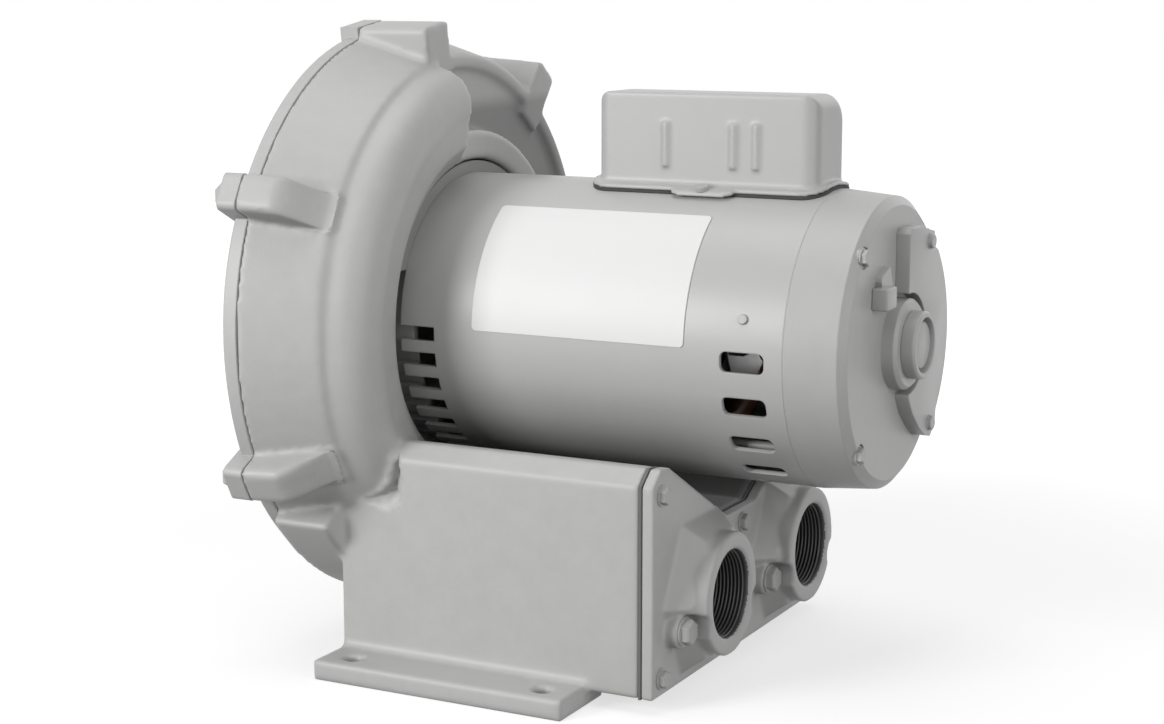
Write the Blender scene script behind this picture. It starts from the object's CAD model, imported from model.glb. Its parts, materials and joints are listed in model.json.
"""Dresses a side channel blower: castings, rolled motor shell, ports, fasteners, plates and the studio.

Lengths are in metres and angles in degrees, unless a name says otherwise. The shaft lies along X, and
angles about it start at +Y and rise towards +Z.
"""

import json
import logging
import math
from collections.abc import Iterable
from dataclasses import asdict, dataclass
from enum import Enum
from typing import Any

import bmesh
import bpy
from mathutils import Matrix, Vector

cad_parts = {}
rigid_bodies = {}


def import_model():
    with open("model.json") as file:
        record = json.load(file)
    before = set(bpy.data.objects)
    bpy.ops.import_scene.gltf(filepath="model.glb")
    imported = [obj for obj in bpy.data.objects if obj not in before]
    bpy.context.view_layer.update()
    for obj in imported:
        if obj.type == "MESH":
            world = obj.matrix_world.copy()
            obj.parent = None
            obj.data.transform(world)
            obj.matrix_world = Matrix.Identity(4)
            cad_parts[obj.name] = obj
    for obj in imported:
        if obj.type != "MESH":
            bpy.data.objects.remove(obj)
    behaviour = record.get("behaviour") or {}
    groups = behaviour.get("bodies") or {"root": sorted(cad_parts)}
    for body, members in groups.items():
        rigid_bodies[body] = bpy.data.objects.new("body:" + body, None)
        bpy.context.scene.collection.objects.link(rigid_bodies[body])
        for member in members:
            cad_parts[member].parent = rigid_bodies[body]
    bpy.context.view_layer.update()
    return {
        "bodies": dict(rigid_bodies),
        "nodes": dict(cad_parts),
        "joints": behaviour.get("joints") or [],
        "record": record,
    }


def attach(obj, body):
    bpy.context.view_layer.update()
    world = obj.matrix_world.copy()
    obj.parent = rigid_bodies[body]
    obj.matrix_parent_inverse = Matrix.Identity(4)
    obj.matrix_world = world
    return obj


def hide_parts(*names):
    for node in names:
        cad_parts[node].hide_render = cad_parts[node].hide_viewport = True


LOG = logging.getLogger("blower")

MM = 0.001
IMAGE_WIDTH = 1164
SHAFT_HEIGHT = 190 * MM
SHELL_RADIUS = 82.5 * MM
SPLIT_X = -112 * MM
SHARP_ANGLE = 30.0
EDGE_SEGMENTS = 3
MERGE = 0.005 * MM
WELD = 0.01 * MM
JOINT_NORMAL = 0.8
BODY = "blower"

MID_GREY = (0.5, 0.5, 0.5, 1.0)
FINE_SHARE = 0.6
DUST_SCALE = 35.0
DUST_DETAIL = 5.0
RUB_RISE = 3.0
GLOSS_RANGE = 0.16
BARE_LIFT = 1.25

CHAMFER_FROM = 0.8
CHAMFER_TO = 0.86
WASHER_SIDES = 32
SHANK_SIDES = 20
TURN_STEPS = 48
RIDGE_SIDES = 6

FLOAT = "NodeSocketFloat"
COLOUR = "NodeSocketColor"
VECTOR = "NodeSocketVector"
GEOMETRY = "NodeSocketGeometry"
MATERIAL = "NodeSocketMaterial"

Socket = bpy.types.NodeSocket
Point = tuple[float, float, float]
Pair = tuple[float, float]


class Head(Enum):
    """Kinds of fastener head."""

    HEX = "hexagon head with a washer face"
    PAN = "round head"

    @property
    def sides(self) -> int:
        """Number of sides of the head."""
        return 6 if self is Head.HEX else 24


# ---- node trees ----


@dataclass
class Tree:
    """Small helper that adds and links nodes in one node tree."""

    tree: bpy.types.NodeTree

    def node(self, kind: str, **settings: Any) -> bpy.types.Node:
        """Adds a node.

        Args:
            kind: Blender's identifier of the node.
            settings: Attributes to set on it.

        Returns:
            The new node.
        """
        made = self.tree.nodes.new(kind)
        for name, value in settings.items():
            setattr(made, name, value)
        return made

    def link(self, source: Socket, target: Socket) -> None:
        """Links two sockets."""
        self.tree.links.new(source, target)

    def feed(self, target: Socket, value: Any) -> None:
        """Links a socket, or sets a plain value on the target.

        Args:
            target: Input socket to fill.
            value: Another socket, or a value of the socket's kind.
        """
        if isinstance(value, bpy.types.NodeSocket):
            self.link(value, target)
        else:
            target.default_value = value

    def fill(self, node: bpy.types.Node, values: dict[str, Any]) -> bpy.types.Node:
        """Feeds a node's inputs by name and returns the node."""
        for name, value in values.items():
            self.feed(node.inputs[name], value)
        return node

    def math(self, operation: str, first: Any, second: Any = 0.0) -> Socket:
        """Adds a math node of either node family.

        Args:
            operation: Name of the operation.
            first: First operand, socket or number.
            second: Second operand, socket or number.

        Returns:
            The result socket.
        """
        made = self.node("ShaderNodeMath", operation=operation)
        self.feed(made.inputs[0], first)
        self.feed(made.inputs[1], second)
        return made.outputs[0]

    def vector(self, operation: str, first: Any, second: Any = None) -> Socket:
        """Adds a vector math node.

        Args:
            operation: Name of the operation.
            first: First operand, socket or vector.
            second: Second operand, or the factor of SCALE.

        Returns:
            The result socket, a number for DOT_PRODUCT and LENGTH.
        """
        made = self.node("ShaderNodeVectorMath", operation=operation)
        self.feed(made.inputs[0], first)
        if second is not None:
            self.feed(made.inputs["Scale" if operation == "SCALE" else 1], second)
        return made.outputs["Value" if operation in ("DOT_PRODUCT", "LENGTH") else "Vector"]

    def combine(self, x: Any, y: Any, z: Any) -> Socket:
        """Joins three numbers into a vector and returns its socket."""
        made = self.node("ShaderNodeCombineXYZ")
        for socket, value in zip(made.inputs, (x, y, z)):
            self.feed(socket, value)
        return made.outputs[0]

    def split(self, vector: Socket) -> bpy.types.NodeOutputs:
        """Splits a vector and returns the sockets X, Y and Z."""
        made = self.node("ShaderNodeSeparateXYZ")
        self.link(vector, made.inputs[0])
        return made.outputs

    def blend(self, share: Any, low: Any, high: Any) -> Socket:
        """Mixes two colours and returns the result socket."""
        made = self.node("ShaderNodeMix", data_type="RGBA")
        return self.fill(made, {"Factor": share, "A": low, "B": high}).outputs["Result"]

    def place(self) -> Socket:
        """Returns the place on the piece, in its own coordinates."""
        return self.node("ShaderNodeTexCoord").outputs["Object"]

    def noise(self, scale: Any, detail: float, roughness: float = 0.5) -> Socket:
        """Adds noise that lies still on the piece and returns its socket."""
        values = {"Vector": self.place(), "Scale": scale, "Detail": detail, "Roughness": roughness}
        return self.fill(self.node("ShaderNodeTexNoise"), values).outputs["Fac"]


def new_group(
    name: str, kind: str, inputs: dict[str, tuple[str, Any]], outputs: dict[str, str]
) -> tuple[Tree, bpy.types.NodeOutputs, bpy.types.NodeInputs]:
    """Makes a node group with its named inputs and outputs.

    Args:
        name: Name of the group.
        kind: ShaderNodeTree or GeometryNodeTree.
        inputs: Name of each input with its socket type and its default.
        outputs: Name of each output with its socket type.

    Returns:
        The helper round the new group, what the group is given and what it has to give back.
    """
    group = Tree(bpy.data.node_groups.new(name, kind))
    for label, (socket_type, default) in inputs.items():
        made = group.tree.interface.new_socket(label, in_out="INPUT", socket_type=socket_type)
        if default is not None:
            made.default_value = default
    for label, socket_type in outputs.items():
        group.tree.interface.new_socket(label, in_out="OUTPUT", socket_type=socket_type)
    return group, group.node("NodeGroupInput").outputs, group.node("NodeGroupOutput").inputs


# ---- shader groups ----


class SurfaceEffects:
    """Shader groups that several finishes share."""

    def __init__(self) -> None:
        """Builds the groups once."""
        self.grain = self._grain()
        self.dust = self._dust()
        self.wear = self._wear()
        self.grime = self._grime()

    @staticmethod
    def _grain() -> bpy.types.NodeTree:
        """Builds the grain of a surface: a fine and a coarse noise for height and for mottling."""
        group, given, result = new_group(
            "surface grain", "ShaderNodeTree",
            {"Fine": (FLOAT, 900.0), "Coarse": (FLOAT, 60.0)},
            {"Height": FLOAT, "Mottle": FLOAT},
        )
        fine = group.noise(given["Fine"], 3.0)
        coarse = group.noise(given["Coarse"], 6.0, 0.6)
        part = group.math("MULTIPLY", fine, FINE_SHARE)
        rest = group.math("MULTIPLY", coarse, 1.0 - FINE_SHARE)
        group.link(group.math("ADD", part, rest), result["Height"])
        group.link(coarse, result["Mottle"])
        return group.tree

    @staticmethod
    def _dust() -> bpy.types.NodeTree:
        """Builds settled dust: its colour in patches on faces that look up, and a shade on those below."""
        group, given, result = new_group(
            "settled dust", "ShaderNodeTree",
            {
                "Colour": (COLOUR, MID_GREY),
                "Dust": (COLOUR, (0.6, 0.6, 0.58, 1.0)),
                "Amount": (FLOAT, 0.2),
                "Under": (FLOAT, 0.55),
            },
            {"Colour": COLOUR},
        )
        height = group.split(group.node("ShaderNodeNewGeometry").outputs["Normal"])["Z"]
        upwards = group.math("POWER", group.math("MAXIMUM", height, 0.0), 2.0)
        patch = group.math("MULTIPLY", upwards, group.noise(DUST_SCALE, DUST_DETAIL))
        share = group.math("MULTIPLY", patch, given["Amount"])
        dusty = group.blend(share, given["Colour"], given["Dust"])
        depth = group.math("MAXIMUM", group.math("MULTIPLY", height, -1.0), 0.0)
        shade = group.math("MULTIPLY", group.math("POWER", depth, 1.3), given["Under"])
        group.link(group.vector("SCALE", dusty, group.math("SUBTRACT", 1.0, shade)), result["Colour"])
        return group.tree

    @staticmethod
    def _grime() -> bpy.types.NodeTree:
        """Builds grime in a recess: the colour darkens inside a box with soft sides."""
        group, given, result = new_group(
            "recess grime", "ShaderNodeTree",
            {
                "Colour": (COLOUR, MID_GREY),
                "Low": (VECTOR, (0.0, 0.0, 0.0)),
                "High": (VECTOR, (0.0, 0.0, 0.0)),
                "Edge": (FLOAT, 0.012),
                "Amount": (FLOAT, 0.5),
            },
            {"Colour": COLOUR},
        )
        place = group.place()
        above_low = group.vector("SUBTRACT", place, given["Low"])
        below_high = group.vector("SUBTRACT", given["High"], place)
        inside = group.split(group.vector("MINIMUM", above_low, below_high))
        nearest = group.math("MINIMUM", group.math("MINIMUM", inside["X"], inside["Y"]), inside["Z"])
        ramp = group.node("ShaderNodeMapRange", interpolation_type="SMOOTHSTEP")
        group.fill(ramp, {"Value": nearest, "From Max": given["Edge"]})
        shade = group.math("MULTIPLY", ramp.outputs["Result"], given["Amount"])
        clean = group.math("SUBTRACT", 1.0, shade)
        group.link(group.vector("SCALE", given["Colour"], clean), result["Colour"])
        return group.tree

    @staticmethod
    def _wear() -> bpy.types.NodeTree:
        """Builds rubbed edges: where the rounded normal leaves the true one, the colour lightens."""
        group, given, result = new_group(
            "rubbed edges", "ShaderNodeTree",
            {
                "Colour": (COLOUR, MID_GREY),
                "Bare": (COLOUR, (0.62, 0.62, 0.6, 1.0)),
                "Width": (FLOAT, 0.0012),
                "Amount": (FLOAT, 0.3),
            },
            {"Colour": COLOUR, "Normal": VECTOR},
        )
        bevel = group.node("ShaderNodeBevel", samples=4)
        group.link(given["Width"], bevel.inputs["Radius"])
        rounded = bevel.outputs["Normal"]
        alike = group.vector("DOT_PRODUCT", rounded, group.node("ShaderNodeNewGeometry").outputs["Normal"])
        bent = group.math("SUBTRACT", 1.0, alike)
        edge = group.math("MINIMUM", group.math("MULTIPLY", bent, RUB_RISE), 1.0)
        share = group.math("MULTIPLY", edge, given["Amount"])
        group.link(group.blend(share, given["Colour"], given["Bare"]), result["Colour"])
        group.link(rounded, result["Normal"])
        return group.tree


@dataclass(frozen=True)
class Recess:
    """A box, in the blower's own coordinates, in which grime has settled."""

    low: Point
    high: Point
    amount: float


VALLEY = Recess((-0.080, -0.084, 0.060), (0.114, 0.084, 0.128), 0.72)
BACK_WALL = Recess((-0.112, 0.005, 0.225), (-0.058, 0.150, 0.318), 0.5)


@dataclass(frozen=True)
class Finish:
    """One surface finish, made of the shared effects and one shader."""

    name: str
    colour: Point
    roughness: float = 0.45
    metallic: float = 0.0
    mottle: float = 0.06
    fine: float = 900.0
    coarse: float = 60.0
    relief: float = 0.00006
    edge: float = 0.0012
    rub: float = 0.25
    dust: float = 0.15
    recesses: tuple[Recess, ...] = ()

    def material(self, effects: SurfaceEffects) -> bpy.types.Material:
        """Builds the material.

        Args:
            effects: The shader groups that finishes share.

        Returns:
            The finished material.
        """
        made = bpy.data.materials.new(self.name)
        made.use_nodes = True
        made.node_tree.nodes.clear()
        tree = Tree(made.node_tree)
        shader = tree.node("ShaderNodeBsdfPrincipled")
        tree.link(shader.outputs[0], tree.node("ShaderNodeOutputMaterial").inputs["Surface"])
        grain = self._use(tree, effects.grain, {"Fine": self.fine, "Coarse": self.coarse})
        tint = tree.blend(grain["Mottle"], self._shade(1 - self.mottle), self._shade(1 + self.mottle))
        wear = self._use(tree, effects.wear, {"Colour": tint, "Bare": self._shade(BARE_LIFT),
                                              "Width": self.edge, "Amount": self.rub})
        colour = self._use(tree, effects.dust, {"Colour": wear["Colour"], "Amount": self.dust})["Colour"]
        for recess in self.recesses:
            values = {"Colour": colour, "Low": recess.low, "High": recess.high, "Amount": recess.amount}
            colour = self._use(tree, effects.grime, values)["Colour"]
        gloss = tree.math("MULTIPLY", grain["Mottle"], GLOSS_RANGE)
        bump = tree.node("ShaderNodeBump")
        tree.fill(bump, {"Strength": 1.0, "Distance": self.relief, "Height": grain["Height"],
                         "Normal": wear["Normal"]})
        tree.fill(shader, {
            "Base Color": colour,
            "Metallic": self.metallic,
            "Roughness": tree.math("ADD", gloss, self.roughness - GLOSS_RANGE / 2),
            "Normal": bump.outputs["Normal"],
        })
        return made

    def _shade(self, factor: float) -> tuple[float, ...]:
        """Returns the finish's colour, made lighter or darker by a factor."""
        return (*(min(1.0, channel * factor) for channel in self.colour), 1.0)

    @staticmethod
    def _use(tree: Tree, shared: bpy.types.NodeTree, values: dict[str, Any]) -> bpy.types.NodeOutputs:
        """Adds one of the shared groups with its inputs filled and returns its outputs."""
        return tree.fill(tree.node("ShaderNodeGroup", node_tree=shared), values).outputs


class Finishes:
    """Every finish of the blower, by material slot."""

    TABLE: tuple[tuple[str, Finish], ...] = (
        ("cast_paint", Finish("grey paint on rough casting", (0.51, 0.51, 0.505), 0.46, fine=700.0,
                              coarse=90.0, relief=0.00012, mottle=0.07, recesses=(VALLEY, BACK_WALL))),
        ("shell_paint", Finish("grey paint on rolled steel", (0.52, 0.52, 0.515), 0.36, coarse=25.0,
                               relief=0.00003, mottle=0.03)),
        ("shield_paint", Finish("grey paint on die casting", (0.5, 0.5, 0.495), 0.42, relief=0.00006)),
        ("cover_paint", Finish("grey paint on pressed steel", (0.5, 0.5, 0.495), 0.38, relief=0.00004,
                               mottle=0.04)),
        ("painted_bolts", Finish("painted bolt", (0.49, 0.49, 0.485), 0.42, edge=0.0004, rub=0.4)),
        ("shaded_casting", Finish("thin grey paint on casting", (0.3, 0.3, 0.296), 0.55, fine=600.0,
                                  relief=0.0001)),
        ("painted_gasket", Finish("gasket edge under paint", (0.16, 0.16, 0.157), 0.7, rub=0.1)),
        ("tapped_bore", Finish("oiled tapped bore", (0.07, 0.07, 0.07), 0.45, metallic=0.4, edge=0.0003,
                               rub=0.1)),
        ("zinc_bolts", Finish("zinc plate", (0.55, 0.55, 0.54), 0.38, metallic=0.9, edge=0.0004)),
        ("steel", Finish("turned steel", (0.5, 0.5, 0.5), 0.35, metallic=1.0, edge=0.0004)),
        ("bearing_steel", Finish("ground steel", (0.65, 0.65, 0.66), 0.18, metallic=1.0, edge=0.0003)),
        ("laminations", Finish("sheet edges", (0.14, 0.14, 0.145), 0.5, metallic=0.7, edge=0.0004)),
        ("copper", Finish("enamelled wire", (0.3, 0.12, 0.05), 0.3, fine=400.0, relief=0.0003)),
        ("cast_aluminium", Finish("bare casting", (0.6, 0.6, 0.61), 0.42, metallic=0.9, relief=0.0001)),
        ("rubber", Finish("black rubber", (0.02, 0.02, 0.02), 0.7, rub=0.1)),
        ("gasket", Finish("gasket sheet", (0.05, 0.05, 0.048), 0.75, rub=0.1)),
        ("foam", Finish("open foam", (0.02, 0.02, 0.02), 0.95, fine=500.0, relief=0.0012, rub=0.1)),
        ("label_white", Finish("white lacquered foil", (0.84, 0.84, 0.835), 0.5, relief=0.00001,
                               mottle=0.01, edge=0.0003, rub=0.0, dust=0.0)),
        ("dark_plastic", Finish("black moulding", (0.03, 0.03, 0.03), 0.5)),
        ("brown_board", Finish("insulating board", (0.12, 0.06, 0.03), 0.5)),
        ("capacitor_black", Finish("black case", (0.02, 0.02, 0.02), 0.3)),
    )

    def __init__(self) -> None:
        """Builds the shared effects and every material."""
        effects = SurfaceEffects()
        self.by_slot = {slot: finish.material(effects) for slot, finish in self.TABLE}

    def dress(self, piece: bpy.types.Object, slot: str) -> None:
        """Puts one finish on a whole piece.

        Args:
            piece: The mesh to dress.
            slot: The material slot whose finish it takes.
        """
        piece.data.materials.clear()
        piece.data.materials.append(self.by_slot[slot])


# ---- meshes ----


def add_mesh(name: str, mesh: bpy.types.Mesh) -> bpy.types.Object:
    """Puts a mesh into the scene as a piece of its own.

    Args:
        name: Name of the piece.
        mesh: Its mesh, with its place in it.

    Returns:
        The new object.
    """
    piece = bpy.data.objects.new(name, mesh)
    bpy.context.scene.collection.objects.link(piece)
    return piece


def take_mesh(name: str, work: bmesh.types.BMesh) -> bpy.types.Mesh:
    """Turns a worked mesh into a plain one with a name, and frees the work."""
    mesh = bpy.data.meshes.new(name)
    work.to_mesh(mesh)
    work.free()
    return mesh


def bake_modifiers(piece: bpy.types.Object) -> None:
    """Turns a piece with live modifiers into a plain mesh and removes them."""
    graph = bpy.context.evaluated_depsgraph_get()
    mesh = bpy.data.meshes.new_from_object(piece.evaluated_get(graph))
    piece.modifiers.clear()
    piece.data = mesh


def modify(piece: bpy.types.Object, kind: str, **settings: Any) -> None:
    """Adds a modifier to a piece.

    Args:
        piece: The piece.
        kind: Blender's identifier of the modifier.
        settings: Attributes to set on it.
    """
    made = piece.modifiers.new(kind.lower(), kind)
    for name, value in settings.items():
        setattr(made, name, value)


def smooth_by_angle(piece: bpy.types.Object) -> None:
    """Shades a piece smooth except at its sharp edges."""
    piece.data.shade_smooth()
    piece.data.set_sharp_from_angle(angle=math.radians(SHARP_ANGLE))


def seat(piece: bpy.types.Object, node: str | None = None) -> None:
    """Enters a finished piece in the frame.

    Args:
        piece: The piece.
        node: The solid that it stands for, if any.
    """
    if node:
        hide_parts(node)
    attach(piece, BODY)
    LOG.info("%s: %d faces", piece.name, len(piece.data.polygons))


def around_shaft(radius: float, angle: float) -> Pair:
    """Returns the Y and Z of a point at a radius and an angle about the shaft."""
    turned = math.radians(angle)
    return radius * math.cos(turned), SHAFT_HEIGHT + radius * math.sin(turned)


def circle_points(x: float, radius: float, angles: Iterable[float]) -> tuple[Point, ...]:
    """Returns points at a place along the shaft, on a circle about it, one at each angle."""
    return tuple((x, *around_shaft(radius, angle)) for angle in angles)


def polar(place: Vector) -> Pair:
    """Returns the radius and the angle of a place about the shaft."""
    across, up = place.y, place.z - SHAFT_HEIGHT
    return math.hypot(across, up), math.degrees(math.atan2(up, across)) % 360


@dataclass(frozen=True)
class RunOut:
    """Lets bolt ears run out into the ring that they stand on, as the pattern maker blends them."""

    ears: tuple[float, ...]
    plain_angle: float
    plain_half: float = 4.0
    window: float = 11.0
    start: float = -92 * MM
    end: float = -68 * MM
    step: float = 1.5 * MM
    reach: int = 2
    slack: float = 0.8 * MM

    def apply(self, mesh: bpy.types.Mesh) -> None:
        """Draws the motor-side ends of the ears down to the ring's own outline.

        Args:
            mesh: The casting's mesh.
        """
        outline = self._outline(mesh)
        for vertex in mesh.vertices:
            radius, angle = polar(vertex.co)
            if vertex.co.x < self.start or min(abs(angle - ear) for ear in self.ears) > self.window:
                continue
            place = round(vertex.co.x / self.step)
            ring = max(outline.get(place + side, 0.0) for side in range(-self.reach, self.reach + 1))
            if not 0.0 < ring < radius - self.slack:
                continue
            share = min(1.0, (vertex.co.x - self.start) / (self.end - self.start))
            share = share * share * (3 - 2 * share)
            shrink = (radius + (ring - radius) * share) / radius
            vertex.co.y *= shrink
            vertex.co.z = SHAFT_HEIGHT + (vertex.co.z - SHAFT_HEIGHT) * shrink

    def _outline(self, mesh: bpy.types.Mesh) -> dict[int, float]:
        """Measures the ring beside the ears: the largest radius at each step along the shaft."""
        outline: dict[int, float] = {}
        for vertex in mesh.vertices:
            radius, angle = polar(vertex.co)
            if abs(angle - self.plain_angle) < self.plain_half:
                place = round(vertex.co.x / self.step)
                outline[place] = max(outline.get(place, 0.0), radius)
        return outline


@dataclass
class Casting:
    """A casting: the solid's own form with every edge rounded as a sand or die casting has it."""

    node: str
    slot: str
    voxel: float
    rounds: int = 4
    softness: float = 0.5
    keep: float = 0.6
    joint_x: float | None = None
    flush: RunOut | None = None
    bores: tuple[Point, ...] = ()
    bore_from: float = 0.0

    def build(self, frame: dict[str, Any], finishes: Finishes) -> None:
        """Makes the rounded casting and puts it in place of its solid.

        Args:
            finishes: The blower's finishes.
        """
        piece = add_mesh(f"{self.node}_cast", frame["nodes"][self.node].data.copy())
        voxel = self.voxel * 1.0
        modify(piece, "WELD", merge_threshold=WELD)
        modify(piece, "REMESH", mode="VOXEL", voxel_size=voxel)
        modify(piece, "SMOOTH", factor=self.softness, iterations=self.rounds)
        modify(piece, "DECIMATE", ratio=self.keep)
        bake_modifiers(piece)
        if self.flush is not None:
            self.flush.apply(piece.data)
        if self.joint_x is not None:
            self._flatten_joint(piece.data)
        piece.data.shade_smooth()
        finishes.dress(piece, self.slot)
        if self.bores:
            self._dress_bores(piece.data, finishes)
        seat(piece, self.node)

    def _flatten_joint(self, mesh: bpy.types.Mesh) -> None:
        """Brings the joint face back to its plane, which the rounding leaves a little wavy."""
        for vertex in mesh.vertices:
            if abs(vertex.co.x - self.joint_x) < self.voxel and abs(vertex.normal.x) > JOINT_NORMAL:
                vertex.co.x = self.joint_x

    def _dress_bores(self, mesh: bpy.types.Mesh, finishes: Finishes) -> None:
        """Gives the faces inside each tapped bore the finish of a bore.

        Args:
            mesh: The casting's mesh.
            finishes: The blower's finishes.
        """
        mesh.materials.append(finishes.by_slot["tapped_bore"])
        for face in mesh.polygons:
            x, y, z = face.center
            if x > self.bore_from and any(math.hypot(y - b[0], z - b[1]) < b[2] for b in self.bores):
                face.material_index = 1


@dataclass(frozen=True)
class Screw:
    """Sizes of one kind of screw or bolt."""

    head_radius: float
    head_height: float
    washer_radius: float
    washer_height: float
    shank_radius: float
    shank_length: float

    def inputs(self) -> dict[str, float]:
        """Returns the sizes by the names of the fastener tree's inputs."""
        return {name.replace("_", " ").capitalize(): size for name, size in asdict(self).items()}


EAR_BOLT = Screw(7.2 * MM, 4.4 * MM, 8.2 * MM, 1.1 * MM, 4 * MM, 30 * MM)
LID_SCREW = Screw(5.0 * MM, 3.2 * MM, 5.8 * MM, 0.8 * MM, 2.5 * MM, 16 * MM)
PORT_BOLT = Screw(7.3 * MM, 4.6 * MM, 8.3 * MM, 0.9 * MM, 3.5 * MM, 26 * MM)
THROUGH_BOLT = Screw(4.5 * MM, 3.2 * MM, 5.2 * MM, 0.8 * MM, 2.5 * MM, 264.6 * MM)
TRAY_SCREW = Screw(4.0 * MM, 2.0 * MM, 4.6 * MM, 0.4 * MM, 2.0 * MM, 7 * MM)
SHELL_SCREW = Screw(2.6 * MM, 1.2 * MM, 2.9 * MM, 0.2 * MM, 1.3 * MM, 4 * MM)


class FastenerTree:
    """Geometry Nodes tree that sets one kind of fastener on every point of its host mesh."""

    def __init__(self, head: Head) -> None:
        """Builds the tree for one kind of head."""
        group, given, result = new_group(
            f"fasteners, {head.value}", "GeometryNodeTree",
            {
                "Points": (GEOMETRY, None),
                **{label: (FLOAT, size) for label, size in EAR_BOLT.inputs().items()},
                "Direction": (VECTOR, (1.0, 0.0, 0.0)),
                "Finish": (MATERIAL, None),
            },
            {"Fasteners": GEOMETRY},
        )
        self.tree = group.tree
        join = group.node("GeometryNodeJoinGeometry")
        for part in self._parts(group, given, head.sides):
            group.link(part, join.inputs[0])
        turn = group.node("FunctionNodeAlignEulerToVector", axis="Z")
        group.link(given["Direction"], turn.inputs["Vector"])
        place = group.node("GeometryNodeInstanceOnPoints")
        group.fill(place, {"Points": given["Points"], "Instance": join.outputs[0],
                           "Rotation": turn.outputs[0]})
        realize_and_finish(group, place.outputs[0], given["Finish"], result[0])

    def _parts(self, group: Tree, given: bpy.types.NodeOutputs, sides: int) -> tuple[Socket, ...]:
        """Returns the head, its chamfer, the washer face and the shank.

        Args:
            group: The tree.
            given: The tree's inputs.
            sides: Number of sides of the head.

        Returns:
            The geometry socket of each.
        """
        radius, height = given["Head radius"], given["Head height"]
        lift, length = given["Washer height"], given["Shank length"]
        straight = group.math("MULTIPLY", height, CHAMFER_FROM)
        slope = group.math("MULTIPLY", height, 1.0 - CHAMFER_FROM)
        narrow = group.math("MULTIPLY", radius, CHAMFER_TO)
        washer, shank = given["Washer radius"], given["Shank radius"]
        return (
            self._frustum(group, sides, radius, radius, straight, lift),
            self._frustum(group, sides, radius, narrow, slope, group.math("ADD", lift, straight)),
            self._frustum(group, WASHER_SIDES, washer, washer, lift, 0.0),
            self._frustum(group, SHANK_SIDES, shank, shank, length, group.math("MULTIPLY", length, -1.0)),
        )

    @staticmethod
    def _frustum(group: Tree, sides: int, low: Any, high: Any, depth: Any, lift: Any) -> Socket:
        """Adds one frustum.

        Args:
            group: The tree.
            sides: Number of sides.
            low: Radius at its foot.
            high: Radius at its top.
            depth: Its height.
            lift: Height it stands on.

        Returns:
            Its geometry socket.
        """
        cone = group.node("GeometryNodeMeshCone")
        group.fill(cone, {"Vertices": sides, "Radius Bottom": low, "Radius Top": high, "Depth": depth})
        move = group.node("GeometryNodeTransform")
        group.fill(move, {"Geometry": cone.outputs["Mesh"], "Translation": group.combine(0.0, 0.0, lift)})
        return move.outputs[0]


class ThreadTree:
    """Geometry Nodes tree that lays a pipe thread's ridge as a helix along its own Z axis."""

    def __init__(self) -> None:
        """Builds the tree."""
        group, given, result = new_group(
            "pipe thread", "GeometryNodeTree",
            {
                "Geometry": (GEOMETRY, None),
                "Turns": (FLOAT, 9.0),
                "Radius": (FLOAT, 0.024),
                "Length": (FLOAT, 0.022),
                "Ridge": (FLOAT, 0.0011),
                "Finish": (MATERIAL, None),
            },
            {"Thread": GEOMETRY},
        )
        helix = group.node("GeometryNodeCurveSpiral")
        group.fill(helix, {"Resolution": TURN_STEPS, "Rotations": given["Turns"],
                           "Start Radius": given["Radius"], "End Radius": given["Radius"],
                           "Height": given["Length"]})
        profile = group.node("GeometryNodeCurvePrimitiveCircle")
        group.fill(profile, {"Resolution": RIDGE_SIDES, "Radius": given["Ridge"]})
        ridge = group.node("GeometryNodeCurveToMesh")
        group.fill(ridge, {"Curve": helix.outputs[0], "Profile Curve": profile.outputs[0],
                           "Fill Caps": True})
        realize_and_finish(group, ridge.outputs[0], given["Finish"], result[0])
        self.tree = group.tree


def realize_and_finish(group: Tree, geometry: Socket, finish: Socket, target: Socket) -> None:
    """Turns instances into a plain mesh, gives it its material and hands it on.

    Args:
        group: The tree.
        geometry: The geometry so far.
        finish: The material.
        target: Where the result goes.
    """
    real = group.node("GeometryNodeRealizeInstances")
    group.link(geometry, real.inputs[0])
    dressed = group.node("GeometryNodeSetMaterial")
    group.fill(dressed, {"Geometry": real.outputs[0], "Material": finish})
    group.link(dressed.outputs[0], target)


def grow(piece: bpy.types.Object, tree: bpy.types.NodeTree, values: dict[str, Any]) -> None:
    """Runs a Geometry Nodes tree on a piece and keeps the plain mesh.

    Args:
        piece: Host object, whose mesh the tree reads.
        tree: The tree to run.
        values: Value of each named input.
    """
    live = piece.modifiers.new("grow", "NODES")
    live.node_group = tree
    named = {item.name: item.identifier for item in tree.interface.items_tree if item.in_out == "INPUT"}
    for name, value in values.items():
        live[named[name]] = value
    bake_modifiers(piece)


@dataclass(frozen=True)
class FastenerRun:
    """Equal fasteners on given points, with their heads on one plane."""

    points: tuple[Point, ...]
    screw: Screw
    direction: Point = (1.0, 0.0, 0.0)

    def mesh(self, name: str, tree: FastenerTree, material: bpy.types.Material) -> bpy.types.Mesh:
        """Grows the run's fasteners.

        Args:
            name: Name of the host while the tree runs.
            tree: The tree that makes one kind of fastener.
            material: The finish of the fasteners.

        Returns:
            The plain mesh of all fasteners of the run.
        """
        host = bpy.data.meshes.new(name)
        host.from_pydata([Vector(point) for point in self.points], [], [])
        piece = add_mesh(name, host)
        grow(piece, tree.tree, self.screw.inputs() | {"Direction": self.direction, "Finish": material})
        mesh = piece.data
        bpy.data.objects.remove(piece)
        return mesh


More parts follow.
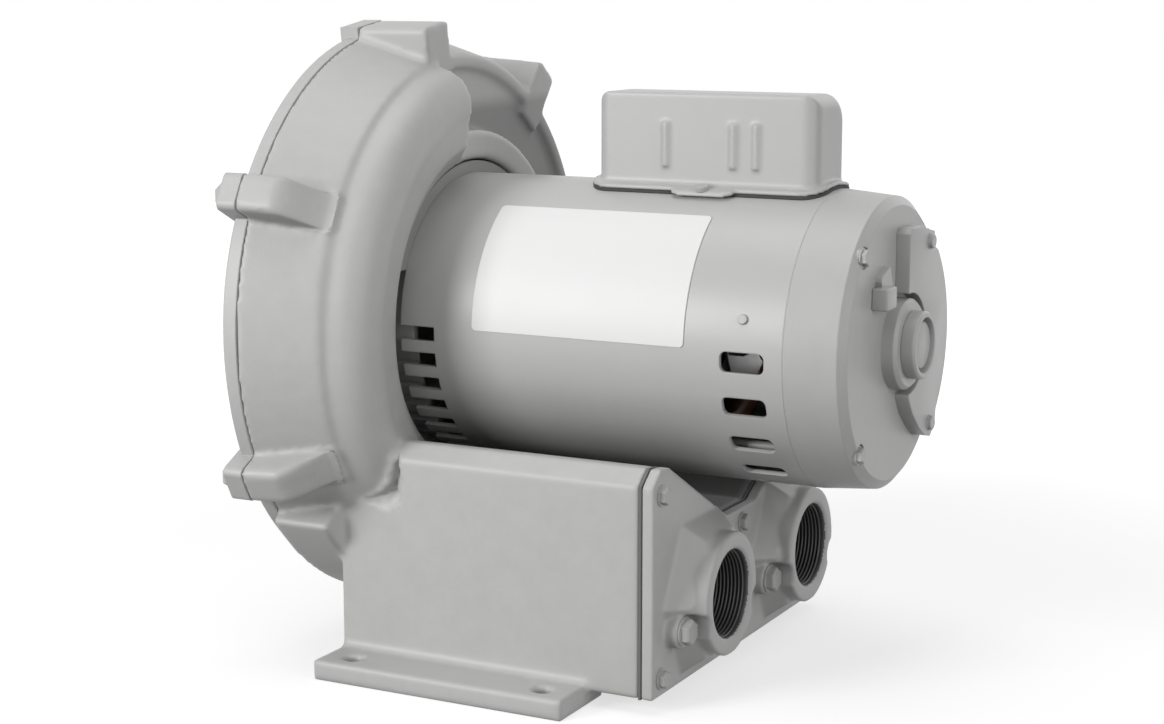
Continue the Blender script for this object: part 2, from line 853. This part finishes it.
@dataclass(frozen=True)
class FastenerSet:
    """One or more runs of fasteners that stand for one node of the solids."""

    name: str
    head: Head
    runs: tuple[FastenerRun, ...]
    slot: str
    node: str | None = None
    finish: str = "painted_bolts"

    def build(self, finishes: Finishes) -> None:
        """Makes the set as one piece.

        Args:
            finishes: The blower's finishes.
        """
        tree = FastenerTree(self.head)
        joined = bmesh.new()
        for run in self.runs:
            joined.from_mesh(run.mesh(f"{self.name}_run", tree, finishes.by_slot[self.finish]))
        mesh = take_mesh(self.name, joined)
        mesh.materials.append(finishes.by_slot[self.finish])
        piece = add_mesh(self.name, mesh)
        smooth_by_angle(piece)
        seat(piece, self.node)


@dataclass(frozen=True, kw_only=True)
class Shell:
    """What the pieces worked from bare faces share: name, finish, rounded edges and wall."""

    name: str
    slot: str
    edge: float
    wall: float = 0.0
    node: str | None = None

    def finish(self, work: bmesh.types.BMesh, finishes: Finishes) -> None:
        """Turns the worked faces into a finished piece.

        Args:
            work: The mesh being worked, which is freed.
            finishes: The blower's finishes.
        """
        bmesh.ops.remove_doubles(work, verts=work.verts, dist=MERGE)
        bmesh.ops.recalc_face_normals(work, faces=work.faces)
        piece = add_mesh(self.name, take_mesh(self.name, work))
        if self.wall:
            modify(piece, "SOLIDIFY", thickness=self.wall, offset=-1.0)
        modify(piece, "BEVEL", width=self.edge, segments=EDGE_SEGMENTS, limit_method="ANGLE",
               angle_limit=math.radians(SHARP_ANGLE))
        bake_modifiers(piece)
        smooth_by_angle(piece)
        finishes.dress(piece, self.slot)
        seat(piece, self.node)


@dataclass(frozen=True, kw_only=True)
class Turning(Shell):
    """A turned piece: a closed profile spun about the shaft's axis."""

    profile: tuple[Pair, ...]
    steps: int = 96

    def build(self, finishes: Finishes) -> None:
        """Spins the profile of (place along the shaft, radius) pairs.

        Args:
            finishes: The blower's finishes.
        """
        work = bmesh.new()
        line = [work.verts.new((x, 0.0, SHAFT_HEIGHT + radius)) for x, radius in self.profile]
        edges = [work.edges.new(pair) for pair in zip(line, line[1:])]
        bmesh.ops.spin(work, geom=line + edges, cent=(0.0, 0.0, SHAFT_HEIGHT), axis=(1.0, 0.0, 0.0),
                       dvec=(0.0, 0.0, 0.0), angle=math.tau, steps=self.steps, use_merge=True)
        self.finish(work, finishes)


@dataclass(frozen=True, kw_only=True)
class Plate(Shell):
    """A flat-faced cover or block: an outline across the shaft's axis, raised along it."""

    outline: tuple[Pair, ...]
    start: float
    depth: float

    def build(self, finishes: Finishes) -> None:
        """Raises the outline of (Y, height over the shaft) pairs; a wall makes it an open tray.

        Args:
            finishes: The blower's finishes.
        """
        work = bmesh.new()
        low = [work.verts.new((self.start, y, SHAFT_HEIGHT + up)) for y, up in self.outline]
        high = [work.verts.new((self.start + self.depth, y, SHAFT_HEIGHT + up)) for y, up in self.outline]
        work.faces.new(high)
        if not self.wall:
            work.faces.new(list(reversed(low)))
        for index in range(len(low)):
            after = (index + 1) % len(low)
            work.faces.new((low[index], low[after], high[after], high[index]))
        self.finish(work, finishes)


# ---- sub-assemblies ----


@dataclass
class BlowerCastings:
    """Housing and manifold cover, the bolts of both covers and the port threads."""

    ears: tuple[float, ...] = (152.5, 207.0, 262.0, 310.0, 1.0, 52.0)
    plain_angle: float = 180.0
    ear_bolt_radius: float = 170.5 * MM
    ear_face: float = -124.04 * MM
    lid_face: float = 117.04 * MM
    lid_points_mm: tuple[Pair, ...] = ((-108, 118), (108, 118), (-108, 18), (108, 18), (0, 80))
    port_bolt_face: float = 125.06 * MM
    port_bolt_out: float = 37 * MM
    port_bolt_z: float = 42 * MM
    port_y: float = 59 * MM
    port_z: float = 55 * MM
    bore_margin: float = 0.6 * MM
    thread_radius: float = 24.15 * MM
    thread_start: float = 111 * MM
    thread_length: float = 23 * MM
    thread_pitch: float = 2.2 * MM
    thread_sunk: float = 0.1 * MM
    ridge: float = 0.9 * MM

    def build(self, frame: dict[str, Any], finishes: Finishes) -> None:
        """Makes the castings and what is screwed to them.

        Args:
            finishes: The blower's finishes.
        """
        bores = tuple((side * self.port_y, self.port_z, self.thread_radius + self.bore_margin)
                      for side in (-1, 1))
        for casting in (
            Casting("blower_housing", "cast_paint", 1.8 * MM, joint_x=SPLIT_X,
                    flush=RunOut(self.ears[:2], self.plain_angle)),
            Casting("manifold_cover", "cast_paint", 1.1 * MM, bores=bores, bore_from=self.lid_face),
        ):
            casting.build(frame, finishes)
        for side, name in ((-1, "inlet_port_thread"), (1, "outlet_port_thread")):
            self._thread(side, name, finishes)
        self._cover_bolts().build(finishes)
        self._manifold_bolts().build(finishes)

    def _cover_bolts(self) -> FastenerSet:
        """Returns the bolts through the ears of the impeller cover."""
        points = circle_points(self.ear_face, self.ear_bolt_radius, self.ears)
        run = FastenerRun(points, EAR_BOLT, (-1.0, 0.0, 0.0))
        return FastenerSet("cover_bolt_set", Head.HEX, (run,), "painted_bolts", "cover_bolts")

    def _manifold_bolts(self) -> FastenerSet:
        """Returns the screws of the manifold cover and the bolts beside its ports."""
        lid = tuple((self.lid_face, y * MM, z * MM) for y, z in self.lid_points_mm)
        ports = tuple(
            (self.port_bolt_face, side * self.port_y + flank * self.port_bolt_out, self.port_bolt_z)
            for side in (-1, 1) for flank in (-1, 1)
        )
        runs = (FastenerRun(lid, LID_SCREW), FastenerRun(ports, PORT_BOLT))
        return FastenerSet("manifold_bolt_set", Head.HEX, runs, "painted_bolts", "manifold_bolts")

    def _thread(self, side: int, name: str, finishes: Finishes) -> None:
        """Lays one port's thread.

        Args:
            side: -1 for the inlet's side, +1 for the outlet's.
            name: Name of the piece.
            finishes: The blower's finishes.
        """
        piece = add_mesh(name, bpy.data.meshes.new(name))
        grow(piece, ThreadTree().tree, {
            "Turns": self.thread_length / self.thread_pitch,
            "Radius": self.thread_radius + self.thread_sunk,
            "Length": self.thread_length,
            "Ridge": self.ridge,
            "Finish": finishes.by_slot["tapped_bore"],
        })
        turn = Matrix.Rotation(math.radians(90), 4, "Y")
        place = Matrix.Translation((self.thread_start, side * self.port_y, self.port_z))
        piece.data.transform(place @ turn)
        piece.data.shade_smooth()
        seat(piece)


@dataclass(frozen=True)
class Nameplate:
    """Bare foil plate rolled round the motor shell."""

    start: float = -12 * MM
    length: float = 129 * MM
    first: float = 123.5
    last: float = 178.0
    lift: float = 0.05 * MM
    thickness: float = 0.55 * MM
    corner: float = 2.5 * MM
    corner_step: int = 15
    columns: int = 40

    def build(self, finishes: Finishes) -> None:
        """Lays rows of points across the plate, shorter at its rounded corners.

        Args:
            finishes: The blower's finishes.
        """
        work = bmesh.new()
        rows = [[work.verts.new(point) for point in row] for row in self._rows()]
        for low, high in zip(rows, rows[1:]):
            for i in range(self.columns):
                work.faces.new((low[i], low[i + 1], high[i + 1], high[i]))
        piece = add_mesh("nameplate_foil", take_mesh("nameplate_foil", work))
        modify(piece, "SOLIDIFY", thickness=self.thickness, offset=1.0)
        bake_modifiers(piece)
        outward_faces(piece.data)
        smooth_by_angle(piece)
        finishes.dress(piece, "label_white")
        seat(piece, "nameplate")

    def _rows(self) -> list[tuple[Point, ...]]:
        """Returns the rows of points, close together at the rounded corners."""
        half, middle = (self.last - self.first) / 2, (self.last + self.first) / 2
        steps = [self.corner * (1 - math.cos(math.radians(a))) for a in range(0, 91, self.corner_step)]
        skin = SHELL_RADIUS + self.lift
        rows = []
        for place in steps + [self.length - step for step in reversed(steps)]:
            inside = self.corner - min(place, self.length - place, self.corner)
            cut = self.corner - math.sqrt(self.corner ** 2 - inside ** 2)
            reach = half - math.degrees(cut / skin)
            shares = (2 * i / self.columns - 1 for i in range(self.columns + 1))
            rows.append(circle_points(self.start + place, skin, (middle + reach * share for share in shares)))
        return rows


def outward_faces(mesh: bpy.types.Mesh) -> None:
    """Turns the faces of a closed mesh outwards."""
    work = bmesh.new()
    work.from_mesh(mesh)
    bmesh.ops.recalc_face_normals(work, faces=work.faces)
    work.to_mesh(mesh)
    work.free()


def scaled(pairs_mm: Iterable[Pair]) -> tuple[Pair, ...]:
    """Returns pairs given in millimetres in metres."""
    return tuple((first * MM, second * MM) for first, second in pairs_mm)


def arc(radius: float, angles: Iterable[int]) -> tuple[Pair, ...]:
    """Returns (Y, height over the shaft) pairs on an arc about the shaft's axis."""
    return tuple((radius * math.cos(math.radians(a)), radius * math.sin(math.radians(a))) for a in angles)


@dataclass
class MotorEnd:
    """Rear end of the motor: bearing cap, terminal cover, connector block and the screws there."""

    face: float = 206.1 * MM
    boss_end: float = 215.14 * MM
    cap_radius: float = 18.6 * MM
    cap_end: float = 223.1 * MM
    cap_rim_mm: tuple[Pair, ...] = (
        (-1.2, 0.0), (0.0, -1.2), (0.0, -3.4), (-5.0, -3.8), (-5.0, -5.4), (-2.0, -5.8), (-1.6, -6.6),
    )
    cap_disc: float = 1.6 * MM
    screw_circle: float = 74 * MM
    screw_seat: float = 204.64 * MM
    screw_angles: tuple[float, ...] = (45.0, 135.0, 225.0, 315.0)
    tray_depth: float = 8 * MM
    tray_wall: float = 1.5 * MM
    tray_clear: float = 28 * MM
    tray_radius: float = 65 * MM
    tray_gap: float = 0.04 * MM
    tray_top_mm: tuple[Pair, ...] = ((-3, 60), (0, 63), (20, 62.5), (24, 60.5), (38, 58), (40, 49))
    tray_foot_mm: tuple[Pair, ...] = ((48, -44), (47, -52), (39, -58), (30, -56), (20, -50), (8, -40),
                                      (1, -31))
    tray_side: float = -3 * MM
    tray_screws: tuple[Pair, ...] = ((31, 53), (37, -50))
    block_at_mm: Pair = (-33, 29)
    block_half_mm: Pair = (7.5, 6.0)
    block_depth: float = 9 * MM
    shell_screw_x: float = 150 * MM
    shell_screw_angle: float = 166.0

    def build(self, finishes: Finishes) -> None:
        """Makes the pieces of the rear end.

        Args:
            finishes: The blower's finishes.
        """
        for piece in (self._cap(), self._terminal_cover(), self._block(), self._through_bolts(),
                      self._tray_screws(), self._shell_screw()):
            piece.build(finishes)

    def _through_bolts(self) -> FastenerSet:
        """Returns the bolts that hold both end shields on the shell."""
        run = FastenerRun(circle_points(self.screw_seat, self.screw_circle, self.screw_angles), THROUGH_BOLT)
        return FastenerSet("through_bolt_set", Head.HEX, (run,), "zinc_bolts", "through_bolts")

    def _tray_screws(self) -> FastenerSet:
        """Returns the two screws of the terminal cover."""
        face = self.face + self.tray_depth
        pair = tuple((face, y * MM, SHAFT_HEIGHT + up * MM) for y, up in self.tray_screws)
        return FastenerSet("terminal_screw_set", Head.PAN, (FastenerRun(pair, TRAY_SCREW),), "zinc_bolts",
                           "terminal_cover_screws")

    def _shell_screw(self) -> FastenerSet:
        """Returns the small round-headed screw above the shell's rear slots."""
        angle = math.radians(self.shell_screw_angle)
        outward = (0.0, math.cos(angle), math.sin(angle))
        place = circle_points(self.shell_screw_x, SHELL_RADIUS, (self.shell_screw_angle,))
        run = FastenerRun(place, SHELL_SCREW, outward)
        return FastenerSet("shell_screw", Head.PAN, (run,), "zinc_bolts")

    def _cap(self) -> Turning:
        """Returns the bearing cap: a short tube with a groove round its sunk disc."""
        rim = tuple((self.cap_end + x, self.cap_radius + out) for x, out in scaled(self.cap_rim_mm))
        profile = ((self.boss_end, 0.0), (self.boss_end, self.cap_radius), *rim,
                   (self.cap_end - self.cap_disc, 0.0))
        return Turning(name="bearing_cap_turned", profile=profile, slot="shield_paint", edge=0.3 * MM,
                       node="bearing_cap")

    def _terminal_cover(self) -> Plate:
        """Returns the pressed cover over the terminals: a half disc with an ear for each screw."""
        clear = self.tray_clear
        outline = (
            (self.tray_side, clear), *scaled(self.tray_top_mm), *arc(self.tray_radius, range(46, -40, -4)),
            *scaled(self.tray_foot_mm), (0.0, -clear), *arc(clear, range(-82, 96, 8)),
        )
        return Plate(name="terminal_cover_pressed", outline=outline, start=self.face + self.tray_gap,
                     depth=self.tray_depth, slot="cover_paint", edge=1.4 * MM, wall=self.tray_wall,
                     node="terminal_cover")

    def _block(self) -> Plate:
        """Returns the small connector block beside the bearing boss."""
        (y, up), (half_y, half_up) = self.block_at_mm, self.block_half_mm
        corners = ((y - half_y, up - half_up), (y + half_y, up - half_up),
                   (y + half_y, up + half_up), (y - half_y, up + half_up))
        return Plate(name="connector_block", outline=scaled(corners), start=self.face,
                     depth=self.block_depth, slot="shield_paint", edge=1.0 * MM)


def seen_directly(tree: Tree) -> Socket:
    """Adds a mask that is 1 where the camera sees a surface, directly or in metal or glass."""
    path = tree.node("ShaderNodeLightPath").outputs
    seen = tree.math("MAXIMUM", path["Is Camera Ray"], path["Is Glossy Ray"])
    return tree.math("MAXIMUM", seen, path["Is Transmission Ray"])


@dataclass(frozen=True)
class Lamp:
    """One soft square lamp: its place in metres, its side and its power in watts."""

    name: str
    place: Point
    size: float
    power: float

    def hang(self, aim: Point) -> None:
        """Hangs the lamp so that it looks at the point aim."""
        light = bpy.data.lights.new(self.name, "AREA")
        light.size = self.size
        light.energy = self.power
        lamp = bpy.data.objects.new(self.name, light)
        lamp.location = self.place
        lamp.rotation_euler = (Vector(aim) - Vector(self.place)).to_track_quat("-Z", "Y").to_euler()
        bpy.context.scene.collection.objects.link(lamp)


@dataclass
class Studio:
    """Camera, lamps, floor and backdrop."""

    azimuth: float = 27.3
    elevation: float = 9.9
    place: Point = (0.5855, -1.1068, 0.3816)
    focal_pixels: float = 2158.3
    sensor_mm: float = 36.0
    lamps: tuple[Lamp, ...] = (
        Lamp("key", (-1.0, -1.8, 0.8), 0.9, 29.0),
        Lamp("fill", (1.9, -0.7, 0.7), 1.3, 11.0),
        Lamp("top", (-0.1, -0.1, 2.0), 1.2, 10.0),
        Lamp("back", (0.6, 1.9, 1.2), 1.6, 6.0),
    )
    aim: Point = (0.05, 0.0, 0.18)
    world: float = 0.17
    floor_half: float = 6.0
    floor_grey: float = 0.45
    paper_grey: float = 0.5
    glow_places: Pair = (0.3, 1.1)
    glow_strengths: Pair = (0.66, 1.0)

    def build(self) -> None:
        """Sets up the view, the light and the ground."""
        camera = bpy.data.cameras.new("camera")
        camera.sensor_fit = "HORIZONTAL"
        camera.sensor_width = self.sensor_mm
        camera.lens = self.focal_pixels / IMAGE_WIDTH * self.sensor_mm
        eye = bpy.data.objects.new("camera", camera)
        eye.location = self.place
        eye.rotation_euler = (math.radians(90 - self.elevation), 0.0, math.radians(self.azimuth))
        bpy.context.scene.collection.objects.link(eye)
        bpy.context.scene.camera = eye
        for lamp in self.lamps:
            lamp.hang(self.aim)
        self._ground()
        self._sky()
        bpy.context.scene.view_settings.view_transform = "Standard"

    def _ground(self) -> None:
        """Lays the white floor, which looks white to the camera and keeps the blower's shadow."""
        half = self.floor_half
        mesh = bpy.data.meshes.new("floor")
        mesh.from_pydata([(-half, -half, 0), (half, -half, 0), (half, half, 0), (-half, half, 0)], [],
                         [(0, 1, 2, 3)])
        floor = add_mesh("floor", mesh)
        floor.data.materials.append(self._floor_material())

    def _floor_material(self) -> bpy.types.Material:
        """Builds the floor: paper that a camera sees as white, apart from the blower's shadow."""
        material = bpy.data.materials.new("floor")
        material.use_nodes = True
        material.node_tree.nodes.clear()
        tree = Tree(material.node_tree)
        plain, paper = (
            tree.fill(tree.node("ShaderNodeBsdfDiffuse"), {"Color": (grey, grey, grey, 1.0)}).outputs[0]
            for grey in (self.floor_grey, self.paper_grey)
        )
        place = tree.split(tree.node("ShaderNodeNewGeometry").outputs["Position"])
        rise = tree.node("ShaderNodeMapRange", interpolation_type="SMOOTHSTEP")
        tree.fill(rise, {
            "Value": tree.vector("LENGTH", tree.combine(place["X"], place["Y"], 0.0)),
            "From Min": self.glow_places[0],
            "From Max": self.glow_places[1],
            "To Min": self.glow_strengths[0],
            "To Max": self.glow_strengths[1],
        })
        glow = tree.fill(tree.node("ShaderNodeEmission"), {"Strength": rise.outputs["Result"]})
        both = tree.node("ShaderNodeAddShader")
        tree.link(paper, both.inputs[0])
        tree.link(glow.outputs[0], both.inputs[1])
        mix = tree.node("ShaderNodeMixShader")
        for socket, value in zip(mix.inputs, (seen_directly(tree), plain, both.outputs[0])):
            tree.link(value, socket)
        tree.link(mix.outputs[0], tree.node("ShaderNodeOutputMaterial").inputs["Surface"])
        return material

    def _sky(self) -> None:
        """Gives plain grey light all round and a white background to the camera."""
        world = bpy.data.worlds.new("studio")
        bpy.context.scene.world = world
        world.use_nodes = True
        tree = Tree(world.node_tree)
        lift = tree.math("MULTIPLY", seen_directly(tree), 1.0 - self.world)
        tree.fill(world.node_tree.nodes["Background"], {
            "Color": (1.0, 1.0, 1.0, 1.0),
            "Strength": tree.math("ADD", lift, self.world),
        })


PAINTED_OVER = {
    "manifold_gasket": "painted_gasket",
    "capacitor_cover_screws": "painted_bolts",
    "front_end_shield": "shaded_casting",
}


def dress_solids(frame: dict[str, Any], finishes: Finishes) -> None:
    """Gives every solid its finish.

    Args:
        finishes: The blower's finishes.
    """
    slots = {item["node"]: item["material_slot"] for item in frame["record"]["subparts"]}
    slots |= PAINTED_OVER
    for name, piece in frame["nodes"].items():
        finishes.dress(piece, slots[name])


def main() -> None:
    """Loads the frame, builds the blower and its studio and checks the result."""
    logging.basicConfig(level=logging.INFO, format="%(name)s: %(message)s")
    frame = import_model()
    finishes = Finishes()
    dress_solids(frame, finishes)
    BlowerCastings().build(frame, finishes)
    Casting("capacitor_cover", "cover_paint", 1.0 * MM, rounds=5).build(frame, finishes)
    MotorEnd().build(finishes)
    Nameplate().build(finishes)
    Studio().build()


if __name__ == "__main__":
    main()
